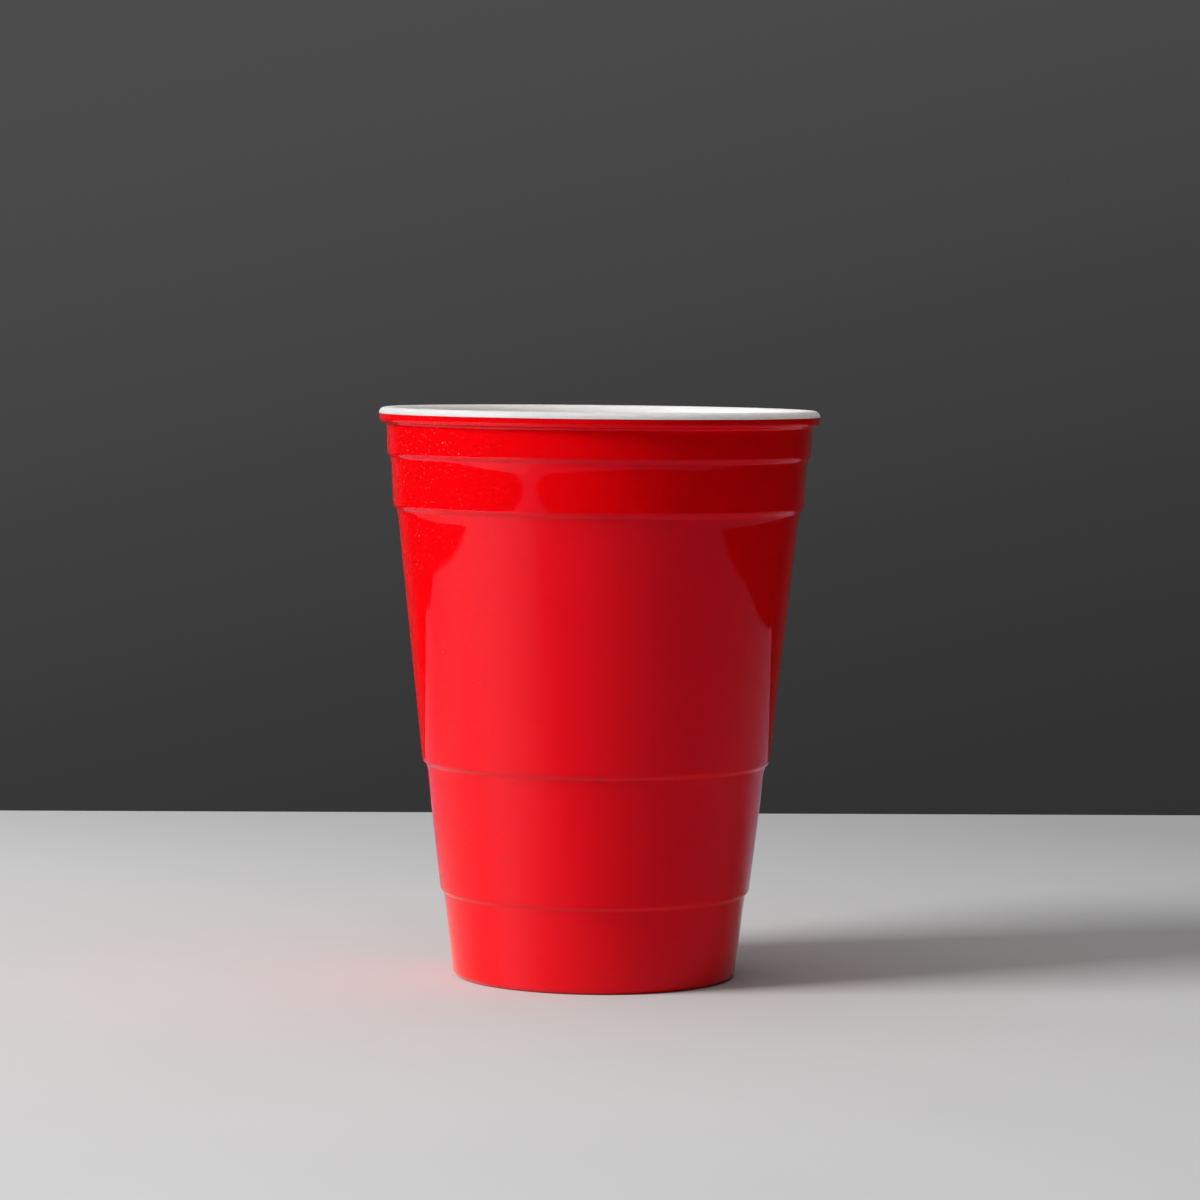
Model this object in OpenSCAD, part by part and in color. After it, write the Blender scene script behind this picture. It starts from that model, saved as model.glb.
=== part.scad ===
// Silicone drinking cup with a stepped, tapering wall, a red outer layer and a white lining.
// Lengths are millimetres. The cup stands on z = 0 with its axis on Z.

/* [Overall] */
// Height from the ground to the top of the rim
height = 119.7; // [95:0.1:160]
// Outer diameter of the rim bead
rim_d = 92.7; // [84:0.1:110]

/* [Wall layers] */
// Thickness of the red outer layer
shell_t = 1.4; // [0.8:0.1:2.4]
// Thickness of the white lining
liner_t = 1.2; // [0.8:0.1:2.4]
// Thickness of the red layer in the floor
shell_floor_t = 1.8; // [1:0.1:4]
// Thickness of the lining in the floor
liner_floor_t = 1.4; // [1:0.1:4]
// Rounding where the lining's wall meets its floor
floor_corner_r = 3.5; // [1:0.5:8]

/* [Rim bead] */
// Depth of the bead, from the top of the rim to its underside
bead_h = 3.15; // [3:0.05:6]
// How far the bead stands out from the wall below it
bead_out = 1.55; // [1:0.05:3]
// Rounding of the bead's upper outer edge
bead_top_r = 1.5; // [0.8:0.1:2.5]
// Rounding of the bead's lower outer edge
bead_under_r = 1.5; // [0.5:0.1:1.5]
// Rounding where the bead's underside meets the wall
bead_neck_r = 0.9; // [0:0.1:1.4]
// Rounding of the mouth's inner edge
mouth_edge_r = 1.4; // [0.4:0.1:1.6]
// Depth of the colour line below the top of the rim
colour_line = 1.3; // [1:0.05:2.4]

/* [Bands of the wall] */
// Height of the collar, from the bead's underside down to its ledge
collar_h = 6.95; // [5:0.05:12]
// Height of the shoulder, the band between the collar's ledge and the body's
shoulder_h = 11; // [7:0.1:18]
// Height of the grip, the band between the body's lower ledge and the foot's
grip_h = 27.3; // [15:0.1:40]
// Height of the foot, from the ground up to its ledge
foot_h = 17.8; // [12:0.1:24]
// Slope of the collar, in degrees
collar_draft = 2.4; // [0.5:0.1:8]
// Slope of the shoulder
shoulder_draft = 3.2; // [0.5:0.1:8]
// Slope of the body, the tall middle band, which takes the height that the others leave
body_draft = 6.1; // [2:0.1:8]
// Slope of the grip
grip_draft = 6.7; // [2:0.1:9]
// Slope of the foot
foot_draft = 6.6; // [2:0.1:9]

/* [Ledges] */
// Step in from the collar to the shoulder
collar_ledge_in = 0.72; // [0.3:0.02:2]
// Step in from the shoulder to the body
shoulder_ledge_in = 0.82; // [0.3:0.02:2]
// Step in from the body to the grip
body_ledge_in = 0.86; // [0.3:0.02:2]
// Step in from the grip to the foot
grip_ledge_in = 0.72; // [0.3:0.02:2]
// Slope of every ledge's face from the vertical, in degrees
ledge_slope = 45; // [30:1:70]
// Rounding of every ledge's outer lip
ledge_lip_r = 1.3; // [0:0.1:3]
// Rounding of the inner corner under every ledge
ledge_root_r = 1; // [0:0.1:3]
// Height of the slight flare under every ledge
flare_h = 1.9; // [1:0.1:4]
// Extra slope of that flare, in degrees
flare_slope = 5; // [1:0.5:12]
// Blend between the flare and the band below it
flare_r = 12; // [0:1:30]
// Rounding of the ledges on the colour seam and inside the cup
inner_ledge_r = 1.6; // [0:0.1:4]

/* [Foot] */
// Rounding of the outer edge that the cup stands on
foot_edge_r = 1.45; // [0.5:0.05:2.5]
// Width of the flat ring that touches the ground
foot_ring_w = 3.2; // [1.5:0.1:6]
// Depth of the hollow under the floor
recess_h = 0.8; // [0.4:0.1:2]
// Rounding of the hollow's edges
recess_r = 0.5; // [0:0.1:1]

/* [Hidden] */
$fn = 180;
// Largest turn between neighbouring facets of a rounding, in degrees
arc_step = 9;

rim_r = rim_d / 2;
neck_r = rim_r - bead_out;
bead_under_z = height - bead_h;
colour_line_z = height - colour_line;
shell_floor_z = recess_h + shell_floor_t;
liner_floor_z = shell_floor_z + liner_floor_t;
wall_t = shell_t + liner_t;

// The ledges from the top down: height, step in and draft of the band below
shoulder_top_z = bead_under_z - collar_h;
ledges = [
    [shoulder_top_z, collar_ledge_in, shoulder_draft],
    [shoulder_top_z - shoulder_h, shoulder_ledge_in, body_draft],
    [foot_h + grip_h, body_ledge_in, grip_draft],
    [foot_h, grip_ledge_in, foot_draft],
];

// A sloping line of the wall's section, moved inwards by t: its outward normal and its distance
// along that normal. It passes through radius r at height z and leans outwards by slope degrees.
function wall_line(r, z, slope, t) =
    let (n = [cos(slope), -sin(slope)]) [n, n * [r, z] - t];

function level_line(z) = [[0, 1], z];

// Where two lines cross
function crossing(a, b) =
    let (det = a[0][0] * b[0][1] - a[0][1] * b[0][0])
    [(a[1] * b[0][1] - a[0][1] * b[1]) / det, (a[0][0] * b[1] - a[1] * b[0][0]) / det];

// The wall's lines from the top down, each with the rounding at its lower end. Below each ledge
// come its face, the flare and the next band.
function wall_lines(r, z, slope, t, lip, root, blend, i = 0) =
    i == len(ledges) ? [[wall_line(r, z, slope, t), 0]] :
    let (
        ledge_z = ledges[i][0],
        outer = r - (z - ledge_z) * tan(slope),
        inner = outer - ledges[i][1],
        next_slope = ledges[i][2],
        flare_foot = inner - flare_h * tan(next_slope)
    )
    concat(
        [
            [wall_line(r, z, slope, t), lip],
            [wall_line((outer + inner) / 2, ledge_z, ledge_slope, t), root],
            [wall_line(flare_foot, ledge_z - flare_h, next_slope + flare_slope, t), blend],
        ],
        wall_lines(inner, ledge_z, next_slope, t, lip, root, blend, i + 1)
    );

// Corners of the wall between two levels, from the top down, each as radius, height and rounding.
// t is the depth below the outer surface.
function wall_corners(top, bottom, t, top_r, bottom_r, lip, root, blend) =
    let (
        wall = wall_lines(neck_r, bead_under_z, collar_draft, t, lip, root, blend),
        lines = concat([[level_line(top), top_r]], wall, [[level_line(bottom), 0]]),
        last = len(lines) - 2
    )
    [
        for (i = [0:last])
            let (p = crossing(lines[i][0], lines[i + 1][0]))
            [p[0], p[1], i == last ? bottom_r : lines[i][1]]
    ];

// Rounding of corner outlines. An outline is a list of corners: radius, height and rounding.
function spot(c) = [c[0], c[1]];
function heading(a, b) = (spot(b) - spot(a)) / norm(spot(b) - spot(a));
function turn(c, i) =
    let (u = heading(c[i - 1], c[i]), v = heading(c[i], c[i + 1]))
    atan2(u[0] * v[1] - u[1] * v[0], u * v);
function reach(c, i) =
    i == 0 || i == len(c) - 1 ? 0 : c[i][2] * tan(abs(turn(c, i)) / 2);
// Share of its reach that a rounding may take, so that neighbours never meet on their edge
function share(c, i) =
    let (want = reach(c, i) + reach(c, i + 1), edge = norm(spot(c[i + 1]) - spot(c[i])))
    want > edge ? edge / want : 1;
function arc(start, u, a, r) =
    let (
        centre = start + sign(a) * r * [-u[1], u[0]],
        arm = start - centre,
        steps = ceil(abs(a) / arc_step)
    )
    [
        for (k = [0:steps])
            let (b = a * k / steps)
            centre + [arm[0] * cos(b) - arm[1] * sin(b), arm[0] * sin(b) + arm[1] * cos(b)]
    ];
function rounded_corner(c, i) =
    let (wanted = reach(c, i))
    wanted < 0.001 ? [spot(c[i])] :
    let (
        back = wanted * min(share(c, i - 1), share(c, i)),
        a = turn(c, i),
        u = heading(c[i - 1], c[i])
    )
    arc(spot(c[i]) - back * u, u, a, back / tan(abs(a) / 2));
function rounded(c) = [for (i = [0:len(c) - 1]) for (p = rounded_corner(c, i)) p];

// Outer surface, from the colour line down to the ground and in to the middle of the hollow
outer_wall = wall_corners(bead_under_z, 0, 0, bead_neck_r, foot_edge_r,
    ledge_lip_r, ledge_root_r, flare_r);
foot_r = outer_wall[len(outer_wall) - 1][0];
hollow_r = foot_r - foot_edge_r - foot_ring_w;
outer_corners = concat(
    [[rim_r, colour_line_z, 0], [rim_r, bead_under_z, bead_under_r]],
    outer_wall,
    [[hollow_r, 0, recess_r], [hollow_r - recess_h, recess_h, recess_r], [0, recess_h, 0]]
);

// Seam between the two layers: along the bead, down the middle of the wall and across the floor
seam_corners = concat(
    [[rim_r, colour_line_z, 0]],
    wall_corners(colour_line_z, shell_floor_z, shell_t, bead_neck_r, floor_corner_r + liner_t,
        inner_ledge_r, inner_ledge_r, flare_r),
    [[0, shell_floor_z, 0]]
);

// Inside of the cup: over the top of the bead, down the wall and across the floor
inner_corners = concat(
    [[rim_r, colour_line_z, 0], [rim_r, height, bead_top_r]],
    wall_corners(height, liner_floor_z, wall_t, mouth_edge_r, floor_corner_r,
        inner_ledge_r, inner_ledge_r, flare_r),
    [[0, liner_floor_z, 0]]
);

function reversed(list) = [for (i = [len(list) - 1:-1:0]) list[i]];

// A layer is turned from the outline between its outer and its inner surface. Both surfaces start
// at the colour line, so the inner one gives back every corner but that first one.
module turned_layer(outer, inner) {
    back = reversed(rounded(inner));
    rotate_extrude() polygon(concat(rounded(outer), [for (i = [0:len(back) - 2]) back[i]]));
}

// Red layer: the outside of the cup, up to the colour line on the rim bead
module outer_shell() {
    color("#cc0a14") turned_layer(outer_corners, seam_corners);
}

// White layer: the inside of the cup and the upper half of the rim bead
module inner_liner() {
    color("#f1efeb") turned_layer(seam_corners, inner_corners);
}

outer_shell();
inner_liner();
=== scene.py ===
# %% [markdown]
# # A silicone drinking cup
# This lesson dresses a imported CAD model: a party cup moulded from two colours of silicone, red
# outside and white inside. The CAD model gives every size. What is added here is what the eye
# wants from a moulded rubber cup: smooth round surfaces, a soft gloss, a little dust, and light.

# %% [markdown]
# ## The frame
# The imported model is loaded first and never changed. All lengths from here on are metres, the cup
# stands on z = 0 and its axis is Z. The box of the whole model is kept, and its top gives the
# height.

# %% Load the frame
from math import pi, radians

import bmesh
import bpy
from mathutils import Matrix, Vector


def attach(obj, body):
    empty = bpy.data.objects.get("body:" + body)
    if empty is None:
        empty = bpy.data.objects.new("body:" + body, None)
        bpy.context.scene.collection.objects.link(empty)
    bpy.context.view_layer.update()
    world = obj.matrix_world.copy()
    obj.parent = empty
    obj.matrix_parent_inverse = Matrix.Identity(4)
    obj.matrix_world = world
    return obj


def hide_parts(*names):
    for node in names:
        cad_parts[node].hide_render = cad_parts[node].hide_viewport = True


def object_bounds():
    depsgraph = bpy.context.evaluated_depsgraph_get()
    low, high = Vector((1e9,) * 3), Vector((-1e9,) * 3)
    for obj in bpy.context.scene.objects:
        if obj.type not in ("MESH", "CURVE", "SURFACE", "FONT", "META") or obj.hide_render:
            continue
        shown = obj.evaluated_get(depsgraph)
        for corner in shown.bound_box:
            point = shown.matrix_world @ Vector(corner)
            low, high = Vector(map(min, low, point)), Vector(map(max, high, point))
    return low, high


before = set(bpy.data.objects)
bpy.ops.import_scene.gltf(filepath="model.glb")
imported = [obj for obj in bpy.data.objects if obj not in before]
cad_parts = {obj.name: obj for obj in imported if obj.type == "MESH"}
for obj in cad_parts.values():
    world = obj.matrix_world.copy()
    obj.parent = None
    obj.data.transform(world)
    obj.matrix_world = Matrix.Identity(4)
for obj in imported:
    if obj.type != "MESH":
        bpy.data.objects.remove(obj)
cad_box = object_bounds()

HEIGHT = cad_box[1].z
print("nodes:", sorted(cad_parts), "height:", round(HEIGHT, 5))

# %% [markdown]
# ## The camera
# A product photograph is taken from some way off with a long lens, so that the sides of a cup
# hardly spread. The place, tilt and lens below were found by fitting the cup's rim, ledges and
# foot, as circles, to the picture. The camera tips down a little and leans by about half a degree.

# %% Place the camera
SENSOR_MM = 36
FOCAL_PER_FRAME = 4273 / 1200
CAMERA_PLACE = (0.0005, -0.89925, 0.1356)
CAMERA_TILT = radians(90 - 3.577)
CAMERA_LEAN = 0.0105

camera_data = bpy.data.cameras.new("camera")
camera_data.sensor_width = SENSOR_MM
camera_data.lens = SENSOR_MM * FOCAL_PER_FRAME
camera = bpy.data.objects.new("camera", camera_data)
tilt = Matrix.Rotation(CAMERA_TILT, 4, "X")
lean = Matrix.Rotation(CAMERA_LEAN, 4, "Z")
camera.matrix_world = Matrix.Translation(CAMERA_PLACE) @ tilt @ lean
bpy.context.collection.objects.link(camera)
bpy.context.scene.camera = camera
print("lens:", round(camera_data.lens, 1), "mm")

# %% [markdown]
# ## Shader sums
# A procedural material is a chain of small sums. Wiring each one by hand hides the idea, so one
# class wraps an output socket and lets Python's own signs add the Math nodes: `1 - dust * 0.5`
# reads as what it does. Its method `node` adds any other node.

# %% A class for sockets
class Wire:
    """An output socket in a node tree. Sums of wires and numbers add Math nodes."""

    def __init__(self, tree, socket=None):
        self.tree = tree
        self.socket = socket

    def node(self, kind, settings=None, sockets=None, out=0):
        """Adds a node: its settings first, then the values or links of its sockets."""
        made = self.tree.nodes.new("ShaderNode" + kind)
        for name, value in (settings or {}).items():
            setattr(made, name, value)
        for name, value in (sockets or {}).items():
            if isinstance(value, Wire):
                self.tree.links.new(value.socket, made.inputs[name])
            else:
                made.inputs[name].default_value = value
        return Wire(self.tree, made.outputs[out] if made.outputs else None)

    def sum(self, operation, first, second):
        return self.node("Math", {"operation": operation}, {0: first, 1: second})

    def __add__(self, other):
        return self.sum("ADD", self, other)

    def __mul__(self, other):
        return self.sum("MULTIPLY", self, other)

    def __sub__(self, other):
        return self.sum("SUBTRACT", self, other)

    def __rsub__(self, other):
        return self.sum("SUBTRACT", other, self)

    __radd__ = __add__
    __rmul__ = __mul__

    def ramp(self, start, end):
        """Goes smoothly from 0 to 1 while this wire goes from start to end."""
        return self.node("MapRange", {"interpolation_type": "SMOOTHSTEP"},
                         {0: self, 1: start, 2: end})

    def blend(self, first, second):
        """A colour between two others, by this wire."""
        return self.node("Mix", {"data_type": "RGBA"}, {0: self, 6: first, 7: second}, out=2)


def new_material(name):
    """An empty material, and a wire to start its nodes from."""
    made = bpy.data.materials.new(name)
    made.use_nodes = True
    made.node_tree.nodes.clear()
    return made, Wire(made.node_tree)

print("shader sums ready")

# %% [markdown]
# ## Patterns that several finishes share
# Moulded silicone is never quite even. It has a slow waviness, because the wall is soft, a fine
# skin taken from the mould, and it draws dust. Each of these is one texture on object coordinates,
# so it stays on the cup from every side. Sizes are in metres, so a noise with features of about
# s metres has a scale of 1 / s.

# %% Shared patterns
def place(start, axis=None):
    """The object coordinates of a point on the surface, or one of them."""
    spot = start.node("TexCoord", out="Object")
    return start.node("SeparateXYZ", sockets={0: spot}, out=axis) if axis else spot


def noise(start, size, detail=2.0):
    """Cloudy noise from 0 to 1, with features of about that size in metres."""
    return start.node("TexNoise", sockets={"Vector": place(start), "Scale": 1 / size,
                                           "Detail": detail})


def specks(start, spacing, radius, kept):
    """Round specks, 1 inside and 0 outside, on a random part of an even scatter."""
    inputs = {"Vector": place(start), "Scale": 1 / spacing}
    distance = start.node("TexVoronoi", sockets=inputs, out="Distance")
    draw = start.node("TexVoronoi", sockets=inputs, out="Color")
    lot = start.node("SeparateColor", sockets={"Color": draw}, out="Red")
    inside = 1 - distance.ramp(radius / spacing * 0.5, radius / spacing)
    return inside * lot.ramp(1 - kept, 1 - kept * 0.9)

print("patterns ready")

# %% [markdown]
# ## Red silicone
# The outside is glossy, because its mould was polished: it mirrors the table as a faint veil that
# leans to crimson, partly from its tinted gloss and partly from the painted crimson shade that the
# table shows only in reflections. The red is as deep as pigment makes it, with hardly any green or
# blue in it.
# Light goes a millimetre or two into silicone and comes out again, which softens the grooves
# under the ledges: that is the subsurface part. Gloss is a low roughness that wanders a little.
# Dust has settled on the upper left, as drifts of fine powder with a few larger bits, and it is
# paler and duller than the red.

# %% Red silicone
RED = (0.95, 0.0012, 0.004, 1)
RED_DEEP = (0.91, 0.001, 0.0035, 1)
DUST = (0.75, 0.55, 0.53, 1)
POWDER_SPACING, POWDER_RADIUS = 0.0008, 0.00018
FLUFF_SPACING, FLUFF_RADIUS = 0.0045, 0.00028
GLOSS = 0.03

red_silicone, start = new_material("red_silicone")
cloud = noise(start, 0.02)
windward = 1 - place(start, "X").ramp(-0.040, -0.010)
settled = 0.5 + 0.5 * place(start, "Z").ramp(HEIGHT * 0.7, HEIGHT * 0.95)
drift = noise(start, 0.006, detail=1).ramp(0.3, 0.6)
powder = specks(start, POWDER_SPACING, POWDER_RADIUS, 0.8) * drift * 0.16
fluff = specks(start, FLUFF_SPACING, FLUFF_RADIUS, 0.4) * 0.3
dusty = (powder + fluff) * windward * settled
pigment = cloud.blend(RED_DEEP, RED)
skin = noise(start, 0.0007, detail=3) * 0.08 + noise(start, 0.012, detail=1)
relief = start.node("Bump", sockets={"Height": skin, "Strength": 0.1, "Distance": 0.00005})
shader = start.node("BsdfPrincipled", {"subsurface_method": "BURLEY"}, {
    "Base Color": dusty.blend(pigment, DUST),
    "Roughness": GLOSS + cloud * 0.02 + dusty * 0.2,
    "IOR": 1.43,
    "Specular IOR Level": 0.3,
    "Specular Tint": (1.0, 0.65, 1.0, 1),
    "Subsurface Weight": 0.8,
    "Subsurface Radius": (1.0, 0.08, 0.08),
    "Subsurface Scale": 0.0024,
    "Normal": relief,
})
start.node("OutputMaterial", sockets={"Surface": shader})
print("red_silicone:", len(start.tree.nodes), "nodes")

# %% [markdown]
# ## White silicone
# The lining has the same skin but a duller one. Light goes much further in white silicone than in
# red, so it spreads round the rim and down into the mouth, and the edge looks soft. White shows
# marks more than red does: its colour wanders from a warm white to a faint grey.

# %% White silicone
WHITE = (0.85, 0.83, 0.815, 1)
WHITE_WORN = (0.82, 0.80, 0.785, 1)
LINT = (0.45, 0.43, 0.42, 1)
LINT_SPACING, LINT_RADIUS = 0.003, 0.00014

white_silicone, start = new_material("white_silicone")
cloud = noise(start, 0.015, detail=3)
lint = specks(start, LINT_SPACING, LINT_RADIUS, 0.2)
worn = cloud.ramp(0.45, 0.7).blend(WHITE, WHITE_WORN)
skin = noise(start, 0.0006, detail=3) * 0.15 + noise(start, 0.010, detail=1)
relief = start.node("Bump", sockets={"Height": skin, "Strength": 0.15, "Distance": 0.0001})
shader = start.node("BsdfPrincipled", {"subsurface_method": "BURLEY"}, {
    "Base Color": (lint * 0.5).blend(worn, LINT),
    "Roughness": 0.36 + cloud * 0.12,
    "IOR": 1.43,
    "Specular IOR Level": 0.3,
    "Subsurface Weight": 1.0,
    "Subsurface Radius": (1.0, 0.9, 0.85),
    "Subsurface Scale": 0.008,
    "Normal": relief,
})
start.node("OutputMaterial", sockets={"Surface": shader})
print("white_silicone:", len(start.tree.nodes), "nodes")

# %% [markdown]
# ## The two layers
# Each layer is a solid of revolution. The CAD node has the right size, but it is a shell of loose
# triangles with a visible facet every two degrees, and gloss shows each one. A subdivision surface
# would pull the small roundings out of shape. A turned part is best made as the lathe makes it:
# take half of the node's own section, where its seam lies on the plane y = 0, and spin it finely.

# %% Take a half section from a CAD node
SAME_POINT = 1e-7


def half_section(node):
    """The outline of a turned node at y = 0 and x >= 0, closed at the axis."""
    section = bmesh.new()
    section.from_mesh(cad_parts[node].data)
    bmesh.ops.remove_doubles(section, verts=section.verts, dist=SAME_POINT)
    aside = [v for v in section.verts if abs(v.co.y) > SAME_POINT or v.co.x < -SAME_POINT]
    bmesh.ops.delete(section, geom=aside, context="VERTS")
    bmesh.ops.delete(section, geom=section.faces[:], context="FACES_ONLY")
    ends = [v for v in section.verts if len(v.link_edges) == 1 and v.co.x > SAME_POINT]
    closing = bmesh.ops.extrude_vert_indiv(section, verts=ends)["verts"]
    bmesh.ops.scale(section, vec=(0, 1, 1), verts=closing)
    return section


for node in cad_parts:
    section = half_section(node)
    print(node, "section:", len(section.verts), "points,", len(section.edges), "edges")
    section.free()

# %% [markdown]
# A full spin leaves one copy of each axis point per step, so the doubles are merged, and then the
# faces are turned outwards. Corners sharper than 30 degrees stay crisp, such as the colour line.
# Weighted normals keep the broad bands straight, and give the bend to the small roundings.

# %% Spin a section into a layer
STEPS = 256
CRISP = radians(30)


def turned_layer(node, slot, material):
    """A smooth turned copy of a CAD node that takes the node's place."""
    shape = half_section(node)
    bmesh.ops.spin(shape, geom=shape.verts[:] + shape.edges[:], cent=(0, 0, 0), axis=(0, 0, 1),
                   angle=2 * pi, steps=STEPS, use_merge=True)
    bmesh.ops.remove_doubles(shape, verts=shape.verts, dist=SAME_POINT)
    bmesh.ops.recalc_face_normals(shape, faces=shape.faces)
    volume = shape.calc_volume() * 1e9
    open_edges = sum(not e.is_manifold for e in shape.edges)
    mesh = bpy.data.meshes.new(slot)
    shape.to_mesh(mesh)
    shape.free()
    mesh.polygons.foreach_set("use_smooth", [True] * len(mesh.polygons))
    mesh.set_sharp_from_angle(angle=CRISP)
    mesh.materials.append(material)
    layer = bpy.data.objects.new(slot + "_layer", mesh)
    bpy.context.collection.objects.link(layer)
    normals = layer.modifiers.new("broad faces rule", "WEIGHTED_NORMAL")
    normals.keep_sharp = True
    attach(layer, "root")
    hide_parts(node)
    print(layer.name, len(mesh.polygons), "faces,", round(volume, 1), "mm3,", open_edges, "open")
    return layer


red_layer = turned_layer("outer_shell", "red_silicone", red_silicone)
white_layer = turned_layer("inner_liner", "white_silicone", white_silicone)

# %% [markdown]
# ## The table
# A plain pale slab, with soft edges. Its outline matters, although most of it is out of view: the
# glossy bands of the cup lean down and mirror it, and the veil on the cup ends where the slab
# ends. The corners were found by following the edge of the veil back from the cup to the table.

# %% Lay the table
TABLE_CORNERS = [(-0.516, -0.675), (0.44, -0.29), (0.437, -0.18), (0.456, 0.0), (0.456, 0.05),
                 (0.44, 0.11), (0.41, 0.25), (0.40, 0.329), (-0.43, 0.281), (-0.439, 0.226),
                 (-0.489, 0.189), (-0.496, 0.114), (-0.468, -0.09)]
TABLE_THICK = 0.02
TABLE_EDGE = 0.002

table_shape = bmesh.new()
top = table_shape.faces.new([table_shape.verts.new((x, y, 0)) for x, y in TABLE_CORNERS])
lower = bmesh.ops.extrude_face_region(table_shape, geom=[top])["geom"]
bmesh.ops.translate(table_shape, vec=(0, 0, -TABLE_THICK),
                    verts=[part for part in lower if isinstance(part, bmesh.types.BMVert)])
bmesh.ops.recalc_face_normals(table_shape, faces=table_shape.faces)
bmesh.ops.bevel(table_shape, geom=table_shape.edges[:], offset=TABLE_EDGE, affect="EDGES",
                segments=3, profile=0.5, material=-1)
table_mesh = bpy.data.meshes.new("table")
table_shape.to_mesh(table_mesh)
table_shape.free()
table = bpy.data.objects.new("table", table_mesh)
bpy.context.collection.objects.link(table)
print("table:", [round(v, 3) for v in table.dimensions])

# %% [markdown]
# The stone is matt and plain, and a little darker towards the far right: that is painted shade,
# where the softbox's light falls off. In the gloss of the cup it isn't so even. It has a real sheen
# under the softbox, and beside the cup on the left a painted pool of light, up to a straight line
# from the cup, so the body has a pale half and a dark half. Beyond that line it has painted shade
# with a trace of crimson. Light Path's Is Glossy Ray keeps all this apart from the plain table that
# the camera sees.

# %% Give the table its stone
STONE = (0.63, 0.63, 0.63, 1)
STONE_GREY = (0.46, 0.46, 0.46, 1)
# The next two colours are a painted shade with a crimson tint and a painted pool of light, seen
# only in the cup's gloss.
PAINTED_SHADE = (0.47, 0.37, 0.49, 1)
PAINTED_LIGHT = (0.98, 0.97, 0.90, 1)
SHEEN = 0.25
LINE_X, LINE_Y = -0.77, 0.64

stone, start = new_material("pale_table")
# Painted shade: towards the far right the stone is blended to grey where the softbox's light falls
# off; the noise adds the stone's own grain.
far = (place(start, "Y") + place(start, "X") * 0.6).ramp(0.0, 0.5)
grain_and_falloff_shade = (noise(start, 0.12, detail=4) * 0.3 + far).blend(STONE, STONE_GREY)
matt = start.node("BsdfPrincipled", sockets={"Base Color": grain_and_falloff_shade, "Roughness": 1,
                                             "Specular IOR Level": 0})
# Painted light: a mask for the pool of light beside the cup on the near left, up to a straight line
# from the cup; the rest of the table gets painted shade.
left = (place(start, "Y") * LINE_Y + place(start, "X") * LINE_X).ramp(-0.07, 0.01)
depth = place(start, "Y")
beside = depth.ramp(-0.52, -0.42) * (1 - depth.ramp(-0.02, 0.18))
dim = start.node("BsdfDiffuse", sockets={"Color": PAINTED_SHADE})
lit = start.node("BsdfDiffuse", sockets={"Color": PAINTED_LIGHT})
polish = start.node("BsdfAnisotropic", sockets={"Color": STONE, "Roughness": 0.5})
painted_light_and_shade = start.node("MixShader", sockets={0: left * beside, 1: dim, 2: lit})
reflected = start.node("MixShader", sockets={0: SHEEN, 1: painted_light_and_shade, 2: polish})
in_gloss = start.node("LightPath", out="Is Glossy Ray")
surface = start.node("MixShader", sockets={0: in_gloss, 1: matt, 2: reflected})
start.node("OutputMaterial", sockets={"Surface": surface})
table_mesh.materials.append(stone)
print("pale_table:", len(start.tree.nodes), "nodes")

# %% [markdown]
# ## The backdrop
# A dark wall far behind would do, but it would get in the way of a camera that walks round the
# cup. The world can be that wall: what the camera sees and what gloss mirrors is a dark grey that
# is lighter at the top left, and a darker room all round it, which keeps the sides of the cup deep
# red. Matt surfaces get a soft fill from above and from the left instead.

# %% Paint the world
ROOM = (0.008, 0.008, 0.008, 1)
WALL_LOW = (0.030, 0.030, 0.030, 1)
WALL_HIGH = (0.075, 0.075, 0.075, 1)
FILL_SIDE = (0.03, 0.03, 0.03, 1)
FILL_TOP = (0.72, 0.72, 0.72, 1)

world = bpy.data.worlds.new("studio")
bpy.context.scene.world = world
world.use_nodes = True
world.node_tree.nodes.clear()
start = Wire(world.node_tree)
direction = start.node("TexCoord", out="Generated")
rise = start.node("SeparateXYZ", sockets={0: direction}, out="Z")
right = start.node("SeparateXYZ", sockets={0: direction}, out="X")
behind = start.node("SeparateXYZ", sockets={0: direction}, out="Y")
wall = start.node("Background", sockets={
    "Color": behind.ramp(0.7, 0.95).blend(
        ROOM, (rise - right * 0.25).ramp(-0.16, 0.14).blend(WALL_LOW, WALL_HIGH))})
fill = start.node("Background", sockets={
    "Color": (rise - right * 0.35).ramp(0.5, 0.9).blend(FILL_SIDE, FILL_TOP)})
seen = (start.node("LightPath", out="Is Camera Ray")
        + start.node("LightPath", out="Is Glossy Ray")
        + start.node("LightPath", out="Is Transmission Ray"))
surroundings = start.node("MixShader", sockets={0: seen, 1: fill, 2: wall})
start.node("OutputWorld", sockets={"Surface": surroundings})
print("world:", len(start.tree.nodes), "nodes")

# %% [markdown]
# ## The key light
# One big softbox stands to the left and a little in front, a third of the way up the sky. It makes
# the left side bright, lets the red sink slowly to the right, and throws the soft shadow. Its
# level is set so that a pale surface which faces it renders about as its colour is written.

# %% Set up the softbox
KEY_DIRECTION = Vector((-0.9135, -0.4067, 0.70)).normalized()
KEY_DISTANCE = 1.6
KEY_SIZE = 0.6
KEY_LEVEL = 0.99

key_data = bpy.data.lights.new("softbox", "AREA")
key_data.shape = "SQUARE"
key_data.size = KEY_SIZE
key_data.energy = KEY_LEVEL * (pi * KEY_DISTANCE) ** 2
key = bpy.data.objects.new("softbox", key_data)
key.location = KEY_DIRECTION * KEY_DISTANCE + Vector((0, 0, HEIGHT / 2))
key.rotation_euler = KEY_DIRECTION.to_track_quat("Z", "Y").to_euler()
bpy.context.collection.objects.link(key)
print("softbox:", round(key_data.energy, 1), "W")

# %% [markdown]
# ## Finish
# The view transform is plain, so that a colour comes out as it is written.

# %% Finish
bpy.context.scene.view_settings.view_transform = "Standard"
